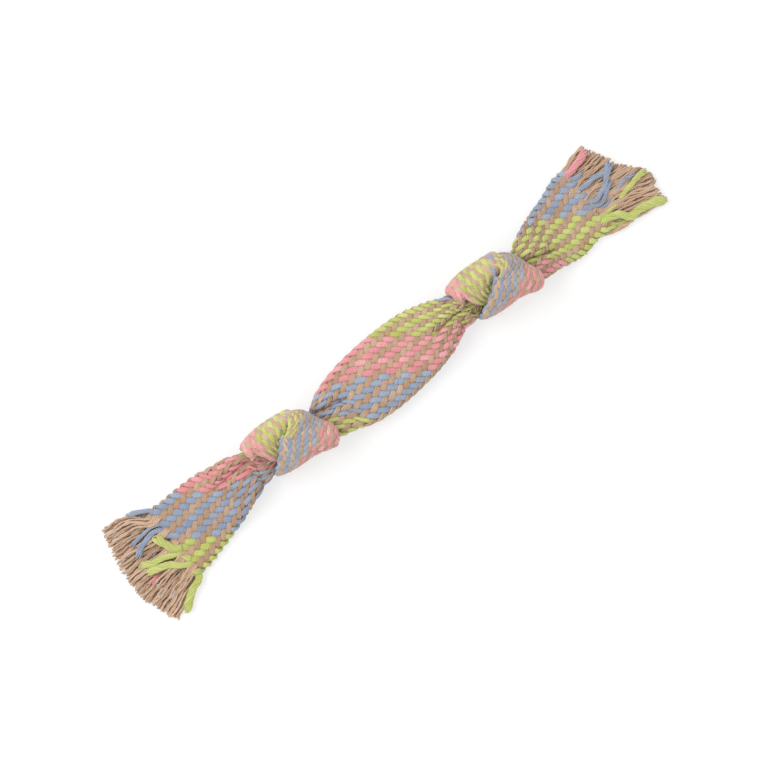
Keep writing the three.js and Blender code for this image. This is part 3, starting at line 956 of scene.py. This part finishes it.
                # The yarn is as wide as the gap between its neighbours' middles, square to its run
                near, far = (self.wall_points(angles + gap)[0] for gap in (-spread / 2, spread / 2))
                run = unit(np.gradient(middle, axis=0))
                room = np.linalg.norm(np.cross(far - near, run), axis=1)
                width = np.clip(room, *self.width_limits) * fill * (1 + self.crown_gain * crown)
                yarn = self.colour_of(number) if way > 0 else Yarn.HEMP
                thickness = wall / 2 * self.plumpness
                tone = float(rng.uniform(0.15, 0.85))
                self.paths.append(YarnPath(
                    yarn, number, points, normal, width, thickness, crown, pleat, tone))

    def strand(self, path: YarnPath, start: int, end: int, shade: float) -> Strand:
        """The tube of one yarn between two stations.

        Args:
            path: The yarn.
            start: The first station.
            end: The last station.
            shade: How much lighter this stretch is than the rest.

        Returns:
            The closed tube.
        """
        part = slice(start, end + 1)
        tangent = unit(np.gradient(path.points, axis=0))[part]
        normal = square_to(tangent, path.normal[part])
        side = np.cross(normal, tangent)
        outline = bundle_profile() if path.yarn is Yarn.HEMP else flat_profile(self.cotton_sides)
        wide = outline[None, :, :1] * (path.width[part] / 2)[:, None, None]
        tall = outline[None, :, 1:] * (path.thickness[part] / 2)[:, None, None]
        rings = path.points[part][:, None, :] + side[:, None, :] * wide + normal[:, None, :] * tall
        along = lengths_along(path.points)[part]
        girth = float(np.mean(path.width[part] + path.thickness[part]) * self.girth_share)
        # Inside a knot the yarns press together and the hollows between them close up, so their
        # painted shade is lighter there
        press = self.section.tightness[part]
        depth = 1 - (1 - path.crown[part]) / 2 * (1 - self.press_fill * press)
        # The bottom of a pleat gets painted shade as well
        depth = depth * (1 - path.pleat[part])
        # Painted shade also draws dark lines between the twines of a hemp yarn, lighter in a knot
        hollows = BUNDLE_HOLLOWS if path.yarn is Yarn.HEMP else np.ones(self.cotton_sides)
        depth = depth[:, None] * (1 - (1 - hollows) * (1 - self.press_twines * press[:, None]))
        return Strand(rings, along, girth, depth, path.tone + shade)

    def stray_fibres(self, path: YarnPath, start: int, end: int, shade: float) -> list[Strand]:
        """Loose fibres that stand off the crowns of a yarn, as on any worn cotton or hemp.

        Args:
            path: The yarn.
            start: The first station.
            end: The last station.
            shade: How much lighter this stretch is than the rest.

        Returns:
            The fibres.
        """
        rng = np.random.default_rng(SEED + 1000 * path.number + start + (path.yarn is Yarn.HEMP))
        fibres = []
        for index in range(start + 2, end - 2):
            if path.crown[index] < self.fibre_crown or rng.random() > self.fibre_share:
                continue
            normal = path.normal[index]
            way = unit(normal * rng.uniform(*self.fibre_lean) + unit(rng.normal(size=3)))
            bend = unit(rng.normal(size=3))
            length = rng.uniform(*self.fibre_lengths)
            share = np.linspace(0.0, 1.0, self.fibre_rings)[:, None]
            root = path.points[index] + normal * path.thickness[index] * self.fibre_root
            line = root + way * length * share + bend * self.fibre_bend * length * share * share
            side = unit(np.cross(way, bend))
            flat = np.cross(way, side)
            corners = np.stack([side, flat - side / 2, -flat - side / 2])
            radius = self.fibre_radius * (1 - self.fibre_taper * share)
            rings = line[:, None, :] + radius[:, :, None] * corners[None]
            along, depth = share[:, 0] * length, np.ones(rings.shape[:2])
            fibres.append(Strand(rings, along, self.fibre_girth, depth, path.tone + shade))
        return fibres

    def build(self) -> None:
        """Makes one piece for each yarn of each stretch, ties those of a knot to the knot, and bakes
        the others' place into their meshes.
        """
        self.lay()
        tube, necks = self.tube, self.bend_reach * MM
        # The stretches meet just inside each knot, and in the middle of the pod
        seams = [0.0, tube.place("left_knot", 2), tube.place("left_knot", 17), tube.place("pod", 3),
                 tube.place("right_knot", 2), tube.place("right_knot", 17), self.section.reach[-1]]
        stations = [int(np.argmin(np.abs(self.section.reach - seam))) for seam in seams]
        nodes = {
            "tail_left": "tail_braid_left", "knot_left": "knot_left", "pod_left": "pod_braid",
            "pod_right": "pod_braid", "knot_right": "knot_right", "tail_right": "tail_braid_right",
        }
        bends = {
            "tail_left": ("left_tail", "left_knot", "left_outer_neck"),
            "pod_left": ("left_knot", "pod", "left_inner_neck"),
            "pod_right": ("pod", "right_knot", "right_inner_neck"),
            "tail_right": ("right_knot", "right_tail", "right_outer_neck"),
        }
        rides = {"knot_left": "left_knot", "knot_right": "right_knot"}
        for (name, node), start, end in zip(nodes.items(), stations, stations[1:]):
            for yarn in Yarn:
                own = [path for path in self.paths if path.yarn is yarn]
                # On the left tail the tone is lowered, a painted shade that darkens the whole tail
                shade = self.left_tail_shade if name == "tail_left" else 0.0
                if name in rides and yarn is Yarn.HEMP:
                    shade = self.knot_hemp_shade
                strands = [self.strand(path, start, end, shade) for path in own]
                fibres = [fibre for path in own
                          for fibre in self.stray_fibres(path, start, end, shade)]
                piece = write_strands(f"{name}_{yarn.word}_yarns", strands + fibres)
                self.wardrobe.dress(piece, yarn)
                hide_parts(node)
                if name in rides:
                    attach(piece, rides[name])
                else:
                    body, other, joint = bends[name]
                    x, y, z = tube.neck(joint) * MM
                    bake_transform(piece)
                log.info("%s: %d yarns, %d loose fibres", piece.name, len(strands), len(fibres))


# The frayed ends


Point = tuple[float, float, float]


@dataclass(frozen=True)
class LooseRoute:
    """The way that one loose yarn lies: the radius of its bundle and its points, in millimetres."""

    radius: float
    points: tuple[Point, ...]


@dataclass
class FrayedEnd:
    """One cut end of the tube: hemp twines and loose coloured yarns.

    Attributes:
        side: Which end it is.
        braid: The braid that it comes from.
        wardrobe: The materials.
        cut_line: Where the twines end, as rows of sideways place and X.
        tip_width: The width of the fan at its tips.
        tip_shift: How far the fan leans sideways.
        routes: The routes of the loose yarns that show, by the yarn's number.
        bow: How far the upper twines bow sideways, as rows of sideways place and bow.
        twine_places: Where the twines of one yarn lie beside its middle.
        twine_middle: The share of the way from its knee to its tip where its middle point lies.
        twine_tip: The radius of its last rings in shares of the rest, and ply_tip a ply's.
        twine_sway: How far a twine sways, and ply_sway the same for a coloured yarn.
        sway_pitch: The least and most length of one sway.
        top_height: The height over which a yarn belongs to the upper wall.
        upper_tips: The least and most height of the tips from the upper wall.
        lower_tips: The same for the tips from the lower wall.
        tip_scatter: How far to the side of its place a tip may lie.
        cut_scatter: How far short of the cut line it may end.
        knee: How far a twine goes straight on, and how much further outwards, before it turns.
        ply_turn: The length of one turn of two plies round each other.
        ply_count: The soft plies of a coloured yarn.
        ply_share: Their radius in shares of the bundle's.
        bundle_turn: The length of one turn of the bundle.
        bundle_shape: Its width and height in shares of the size given.
        opening: How much wider it is at its cut.
        hidden_radius: The radius of a bundle that doesn't show.
        hidden_reach: The least and most share of the way to the cut line that it reaches.
        hidden_knee: How far it goes straight on at first.
        hidden_heights: The height of its tip in the lower wall and in the upper one.
    """

    side: Side
    braid: Braid
    wardrobe: Wardrobe
    cut_line: Array
    tip_width: float
    tip_shift: float
    routes: dict[int, LooseRoute]
    bow: Array
    twine_places: tuple[float, ...] = (-1.8, -1.1, -0.4, 0.4, 1.1, 1.8)
    twine_radius: float = 0.56
    twine_spacing: float = 0.6
    twine_sides: int = 8
    twine_lobes: float = 0.16
    # How far out the loose twines count, which gives them a slight painted hollow shade in the
    # material
    twine_depth: float = 0.75
    twine_middle: float = 0.45
    twine_tip: tuple[float, ...] = (0.95, 0.85, 0.6)
    twine_sway: float = 0.35
    sway_pitch: tuple[float, float] = (9.0, 16.0)
    top_height: float = 3.0
    upper_tips: tuple[float, float] = (2.0, 4.6)
    lower_tips: tuple[float, float] = (0.7, 2.2)
    tip_scatter: float = 1.2
    cut_scatter: float = 2.6
    knee: tuple[float, float] = (2.2, 1.2)
    ply_turn: float = 4.2
    ply_count: int = 6
    ply_share: float = 0.76
    ply_spacing: float = 1.0
    ply_sides: int = 6
    ply_depth: float = 0.8
    ply_tip: tuple[float, ...] = (0.85, 0.5)
    ply_sway: float = 0.25
    bundle_turn: float = 16.0
    bundle_shape: tuple[float, float] = (1.25, 0.72)
    opening: float = 0.45
    hidden_radius: float = 0.7
    hidden_reach: tuple[float, float] = (0.4, 0.6)
    hidden_knee: float = 2.0
    hidden_heights: tuple[float, float] = (1.0, 2.4)

    def rng(self, salt: int) -> np.random.Generator:
        """A seeded source of small differences."""
        return np.random.default_rng(SEED + 100 * salt + self.side.value)

    def root(self, path: YarnPath, shift: float) -> tuple[Array, Array]:
        """Where a yarn leaves the braid, and its direction there.

        Args:
            path: The yarn.
            shift: How far to the side of its middle, in millimetres.

        Returns:
            The place and the unit direction.
        """
        index, inner = (3, 5) if self.side is Side.LEFT else (-4, -6)
        direction = unit(path.points[index] - path.points[inner])
        normal = path.normal[index]
        sideways = unit(np.cross(normal, direction))
        return path.points[index] + sideways * shift, direction

    def tip_x(self, y: float) -> float:
        """The X of the cut line at a sideways place."""
        return float(np.interp(y, self.cut_line[:, 0], self.cut_line[:, 1]))

    def fan_y(self, y: float) -> float:
        """The sideways place at the tips for a yarn that leaves the braid at y."""
        s = self.braid.section
        index = 0 if self.side is Side.LEFT else -1
        middle = s.centre[index, 1]
        share = (y - middle) / s.half_width[index]
        return middle + self.tip_shift + share * self.tip_width / 2

    def run(self, points: Array, spacing: float, rng: np.random.Generator,
            sway: float) -> tuple[Array, Array]:
        """A smooth line through points, with a slight sway.

        Args:
            points: The points to pass.
            spacing: The distance between the points of the line.
            rng: The source of the sway.
            sway: Its size in millimetres.

        Returns:
            The line's points, and the distance along it at each.
        """
        places = lengths_along(points)
        wanted = np.linspace(0, places[-1], max(4, round(places[-1] / spacing)))
        line = smooth_rows(points, places, wanted)
        share = wanted / places[-1]
        phase = rng.uniform(0, TAU, 4)
        pitch = rng.uniform(*self.sway_pitch, 2)
        grow = sway * np.minimum(1, share * 3)
        line[:, 1] += grow * np.sin(wanted / pitch[0] * TAU + phase[0])
        line[:, 2] += 0.6 * grow * np.sin(wanted / pitch[1] * TAU + phase[1])
        return line, wanted

    def twisted(self, line: Array, along: Array, radius: Array, sides: int, lobes: float) -> Array:
        """Rings round a line, of two plies turned round each other.

        Args:
            line: The points of the line.
            along: The distance along it.
            radius: The radius at each point.
            sides: The points of each ring.
            lobes: How far the plies stand out.

        Returns:
            The rings.
        """
        normal, side = upright(line)
        angle = TAU * np.arange(sides)[None, :] / sides
        swell = 1 + lobes * np.cos(2 * (angle - (along / self.ply_turn * math.pi)[:, None]))
        reach = radius[:, None] * swell
        return (line[:, None, :] + side[:, None, :] * (reach * np.cos(angle))[:, :, None]
                + normal[:, None, :] * (reach * np.sin(angle))[:, :, None])

    def hemp(self) -> Piece:
        """Makes the hemp twines of this end.

        Returns:
            The piece.
        """
        rng = self.rng(1)
        strands = []
        for path in (p for p in self.braid.paths if p.yarn is Yarn.HEMP):
            for lobe in self.twine_places:
                start, direction = self.root(path, lobe)
                top = start[2] > self.top_height
                y = self.fan_y(start[1]) + rng.uniform(-self.tip_scatter, self.tip_scatter)
                x = self.tip_x(y) - self.side.value * rng.uniform(0.0, self.cut_scatter)
                z = rng.uniform(*(self.upper_tips if top else self.lower_tips))
                bow = float(np.interp(start[1], self.bow[:, 0], self.bow[:, 1])) if top else 0.0
                tip = np.array([x, y, z])
                outward = np.array([self.side.value * self.knee[1], 0.0, 0.0])
                knee = start + direction * self.knee[0] + outward
                middle = knee + (tip - knee) * self.twine_middle
                middle[1] += bow + rng.uniform(-0.4, 0.4)
                height = knee[2] * (1 - self.twine_middle) + tip[2] * self.twine_middle
                middle[2] = max(self.twine_radius, height + rng.uniform(-0.3, 0.5))
                points = np.array([start, knee, middle, tip])
                line, along = self.run(points, self.twine_spacing, rng, self.twine_sway)
                radius = np.full(len(line), self.twine_radius)
                radius[-len(self.twine_tip):] *= self.twine_tip
                line[:, 2] = np.maximum(line[:, 2], self.twine_radius)
                rings = self.twisted(line, along, radius, self.twine_sides, self.twine_lobes)
                depth = np.full(rings.shape[:2], self.twine_depth)
                tone = float(rng.uniform(0.1, 0.9))
                strands.append(Strand(rings, along, TAU * self.twine_radius, depth, tone))
        return write_strands(f"frayed_hemp_{self.side.word}", strands)

    def loose(self, path: YarnPath, name: str) -> Piece:
        """Makes one loose coloured yarn: soft plies that open towards the cut.

        Args:
            path: The yarn in the braid.
            name: The piece's name.

        Returns:
            The piece.
        """
        rng = self.rng(200 + path.number)
        start, direction = self.root(path, 0.0)
        route = self.routes.get(path.number)
        if route is None:
            y = self.fan_y(start[1])
            x = start[0] + (self.tip_x(y) - start[0]) * rng.uniform(*self.hidden_reach)
            low = self.hidden_heights[0 if start[2] < self.top_height else 1]
            tip = np.array([x, y + rng.uniform(-1.0, 1.0), low])
            knee = start + direction * self.hidden_knee
            middle = (knee + tip) / 2
            middle[2] = low + 0.2
            points, size = np.array([start, knee, middle, tip]), self.hidden_radius
        else:
            points, size = np.array([start, *route.points]), route.radius
        line, along = self.run(points, self.ply_spacing, rng, self.ply_sway)
        share = along / along[-1]
        normal, side = upright(line)
        strands = []
        for ply in range(self.ply_count):
            angle = TAU * ply / self.ply_count + along / self.bundle_turn * TAU
            angle = angle + rng.uniform(-0.2, 0.2)
            spread = size * (0.8 + self.opening * share ** 2.5) * rng.uniform(0.85, 1.15)
            wide = self.bundle_shape[0] * spread * np.cos(angle)
            tall = self.bundle_shape[1] * spread * np.sin(angle)
            own = line + side * wide[:, None] + normal * tall[:, None]
            cut = len(line) - int(rng.integers(0, 3))
            own, reach = own[:cut], along[:cut]
            radius = np.full(cut, self.ply_share * size)
            radius[-len(self.ply_tip):] *= self.ply_tip
            own[:, 2] = np.maximum(own[:, 2], radius * 0.8)
            rings = self.twisted(own, reach, radius, self.ply_sides, 0.0)
            depth = np.full(rings.shape[:2], self.ply_depth)
            tone = path.tone * 0.6 + rng.uniform(0, 0.4)
            strands.append(Strand(rings, reach, float(TAU * radius[0]), depth, tone))
        return write_strands(name, strands)

    def build(self) -> None:
        """Makes this end's pieces and ties them to the tail."""
        body = f"{self.side.word}_tail"
        hemp = self.hemp()
        self.wardrobe.dress(hemp, Yarn.HEMP)
        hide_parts(f"hemp_fringe_{self.side.word}")
        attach(hemp, body)
        log.info("%s: %d vertices", hemp.name, len(hemp.data.vertices))
        coloured = [p for p in self.braid.paths if p.yarn is not Yarn.HEMP]
        roots = {p.number: self.root(p, 0.0)[0] for p in coloured}
        middle = float(np.mean([root[2] for root in roots.values()]))
        # The nodes are numbered from the far side, first along the bottom and then along the top
        order = sorted(coloured, key=lambda p: (roots[p.number][2] > middle, -roots[p.number][1]))
        counts = {yarn: 0 for yarn in Yarn}
        for path in order:
            counts[path.yarn] += 1
            node = f"{path.yarn.word}_end_{self.side.word}_{counts[path.yarn]}"
            piece = self.loose(path, f"loose_{node}")
            self.wardrobe.dress(piece, path.yarn)
            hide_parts(node)
            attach(piece, body)
        log.info("%d loose yarns at the %s end", len(order), self.side.word)


# Where the twines of each end are cut, how far they bow, and how its loose yarns lie
LEFT_CUT_LINE = np.array([
    [-31.5, -167.1], [-23.7, -169.7], [-13.0, -173.9], [-2.8, -173.9], [7.7, -173.4],
    [18.0, -170.8], [28.6, -168.2]])
RIGHT_CUT_LINE = np.array([
    [-18.5, 172.6], [-13.3, 172.1], [-8.0, 173.2], [-2.8, 175.2], [2.4, 172.6], [7.7, 167.9],
    [12.9, 163.5], [18.0, 161.7], [23.3, 159.0], [29.6, 154.9]])
LEFT_BOW = np.array([[-25.0, 0.0], [10.0, 0.0], [18.0, 3.6]])
RIGHT_BOW = np.array([
    [-16.0, 0.0], [-9.0, 2.5], [-4.0, 2.5], [2.0, 0.0], [18.0, 0.0], [26.0, 1.3]])
LEFT_ROUTES = {
    11: LooseRoute(0.65, (
        (-141.5, 22.0, 5.3), (-145.7, 24.2, 5.4), (-149.9, 26.2, 5.0), (-152.8, 27.0, 4.2))),
    10: LooseRoute(0.5, ((-143.0, 21.5, 1.6), (-148.0, 24.0, 1.0))),
    12: LooseRoute(0.6, ((-143.0, 18.6, 4.2), (-144.6, 19.4, 3.2))),
    13: LooseRoute(0.55, (
        (-143.5, 13.6, 6.0), (-150.9, 14.0, 6.0), (-155.6, 14.0, 5.8), (-161.4, 11.8, 5.2))),
    14: LooseRoute(0.8, (
        (-144.0, 10.6, 6.4), (-150.9, 11.0, 6.6), (-156.7, 9.2, 6.3), (-162.4, 5.6, 5.4))),
    16: LooseRoute(0.7, ((-143.0, 1.0, 4.8), (-147.0, 1.5, 4.4))),
    17: LooseRoute(1.25, (
        (-142.8, -2.2, 6.6), (-145.6, 2.8, 7.6), (-147.4, 7.4, 7.6), (-148.4, 9.2, 6.8))),
    18: LooseRoute(0.95, (
        (-145.0, -4.5, 6.2), (-150.9, -2.2, 6.7), (-158.0, -0.4, 6.3), (-164.0, 2.6, 5.6))),
    19: LooseRoute(1.0, ((-141.5, -9.3, 6.2), (-144.2, -7.0, 5.8))),
    20: LooseRoute(1.05, (
        (-144.0, -12.0, 6.0), (-146.5, -10.2, 6.8), (-150.9, -7.0, 6.9), (-157.2, -4.4, 6.6),
        (-164.2, -3.3, 5.6))),
    21: LooseRoute(0.95, ((-141.5, -18.8, 5.6), (-144.6, -17.2, 5.4))),
    22: LooseRoute(1.15, (
        (-143.4, -22.2, 4.4), (-150.7, -25.3, 3.8), (-154.6, -28.4, 3.2), (-158.8, -32.6, 2.2))),
    3: LooseRoute(0.7, (
        (-150.0, -6.0, 1.4), (-158.0, -7.6, 2.6), (-162.0, -8.3, 5.0), (-165.3, -9.0, 5.2))),
}
RIGHT_ROUTES = {
    7: LooseRoute(1.05, (
        (140.2, 24.2, 5.6), (144.4, 24.9, 5.7), (149.6, 26.7, 5.4), (154.9, 28.6, 4.8))),
    6: LooseRoute(0.6, ((141.5, 26.0, 1.6), (147.0, 26.5, 1.0))),
    8: LooseRoute(0.5, ((141.0, 26.4, 1.8), (144.5, 27.2, 1.0))),
    9: LooseRoute(0.7, ((142.6, 19.8, 5.8), (146.2, 19.3, 5.4))),
    11: LooseRoute(0.75, (
        (141.0, 13.8, 6.2), (147.5, 14.4, 6.3), (154.2, 13.1, 5.9), (160.3, 15.6, 5.2))),
    13: LooseRoute(0.75, (
        (143.2, 4.5, 6.6), (148.1, 6.5, 6.6), (154.2, 10.7, 6.4), (160.1, 14.4, 5.6))),
    14: LooseRoute(0.6, ((142.0, 1.5, 6.0), (150.5, 5.2, 6.0), (155.4, 8.2, 5.6))),
    15: LooseRoute(0.5, (
        (146.0, -0.5, 4.6), (155.0, 2.5, 4.4), (163.0, 3.6, 5.0), (168.2, 2.8, 4.8))),
    16: LooseRoute(0.75, (
        (143.0, -4.5, 4.8), (150.0, -3.5, 4.2), (159.7, -0.9, 5.4), (166.4, 0.3, 5.8),
        (173.1, 1.0, 4.8))),
    17: LooseRoute(1.2, (
        (142.6, -7.0, 6.2), (147.5, -9.4, 6.2), (151.1, -13.1, 5.2), (159.6, -13.7, 4.4),
        (171.8, -17.4, 3.2))),
    18: LooseRoute(0.6, ((141.0, -12.5, 3.6), (144.5, -13.5, 3.0))),
}


# The studio

WHITE = (1.0, 1.0, 1.0, 1.0)


@dataclass
class Studio:
    """A pale floor, soft light and a camera straight above, turned as the toy lies in the picture.

    Attributes:
        picture_width: The width that the camera sees at the toy's height, in millimetres.
        middle: The place in the middle of the picture, in millimetres.
        roll: How far the camera is turned, in degrees.
        focus_height: The height that the picture's width is true at, in metres.
        floor_size: The floor's size in metres.
        floor_drop: How far it lies under the toy, in metres, so that the two don't flicker.
        floor_white: How much of the plain white the camera sees of it, where 1 hides all shadow.
        key_place: Where the light hangs, in metres.
        key_size: How wide it is, in metres.
        key_tilt: How far it is tilted about X and Y, in degrees.
    """

    picture_width: float = 401.4
    middle: tuple[float, float] = (-4.2, -2.3)
    roll: float = 38.3
    lens: float = 150.0
    sensor: float = 36.0
    focus_height: float = 0.005
    floor_size: float = 6.0
    floor_drop: float = 0.0002
    floor_colour: int = 0xF6F6F6
    floor_white: float = 0.6
    key_place: tuple[float, float, float] = (-0.55, 0.75, 1.35)
    key_size: float = 1.1
    key_tilt: tuple[float, float] = (-29.0, -22.0)
    key_power: float = 14.0
    world_strength: float = 0.95

    def camera(self) -> None:
        """Sets the camera at the photograph's viewing angle."""
        distance = self.picture_width * MM * self.lens / self.sensor
        bpy.ops.object.camera_add(
            location=(self.middle[0] * MM, self.middle[1] * MM, distance + self.focus_height),
            rotation=(0.0, 0.0, -math.radians(self.roll)))
        camera = bpy.context.object
        camera.data.lens = self.lens
        camera.data.sensor_width = self.sensor
        camera.data.clip_end = 20.0
        bpy.context.scene.camera = camera

    def lights(self) -> None:
        """Sets a large soft key and an even fill from the world."""
        bpy.ops.object.light_add(type="AREA", location=self.key_place)
        key = bpy.context.object
        key.data.shape = "SQUARE"
        key.data.size = self.key_size
        key.data.energy = self.key_power
        key.rotation_euler = (*map(math.radians, self.key_tilt), 0.0)
        world = bpy.data.worlds.new("studio")
        bpy.context.scene.world = world
        world.use_nodes = True
        tree = world.node_tree
        tree.nodes.clear()
        back = add_node(tree, "Background", {"Color": WHITE, "Strength": self.world_strength})
        add_node(tree, "OutputWorld", {"Surface": back})

    def floor(self) -> None:
        """Lays the plain pale floor, which shows white where nothing shades it."""
        bpy.ops.mesh.primitive_plane_add(
            size=self.floor_size, location=(0.0, 0.0, -self.floor_drop))
        floor = bpy.context.object
        floor.name = "studio_floor"
        material = bpy.data.materials.new("matt_white_paper")
        material.use_nodes = True
        tree = material.node_tree
        tree.nodes.clear()
        paper = add_node(tree, "BsdfDiffuse", {"Color": hex_to_linear(self.floor_colour)})
        white = add_node(tree, "Emission", {"Color": WHITE, "Strength": 1.0})
        ray = add_node(tree, "LightPath").outputs
        seen = calculate(tree, "MAXIMUM", ray["Is Camera Ray"], ray["Is Glossy Ray"])
        through = calculate(tree, "MAXIMUM", seen, ray["Is Transmission Ray"])
        share = calculate(tree, "MULTIPLY", through, self.floor_white)
        pick = add_node(tree, "MixShader", {0: share, 1: paper, 2: white})
        add_node(tree, "OutputMaterial", {"Surface": pick})
        floor.data.materials.append(material)

    def build(self) -> None:
        """Sets up the whole studio."""
        bpy.context.scene.view_settings.view_transform = "Standard"
        self.camera()
        self.lights()
        self.floor()


def main() -> None:
    """Builds the studio, the braid and the frayed ends."""
    logging.basicConfig(level=logging.INFO, format="%(message)s")
    bpy.ops.object.select_all(action="DESELECT")
    Studio().build()
    wardrobe = Wardrobe()
    braid = Braid(KnottedTube(), wardrobe)
    braid.build()
    FrayedEnd(Side.LEFT, braid, wardrobe, LEFT_CUT_LINE, tip_width=65.0, tip_shift=-2.3,
              routes=LEFT_ROUTES, bow=LEFT_BOW).build()
    FrayedEnd(Side.RIGHT, braid, wardrobe, RIGHT_CUT_LINE, tip_width=53.0, tip_shift=-0.4,
              routes=RIGHT_ROUTES, bow=RIGHT_BOW).build()


if __name__ == "__main__":
    main()
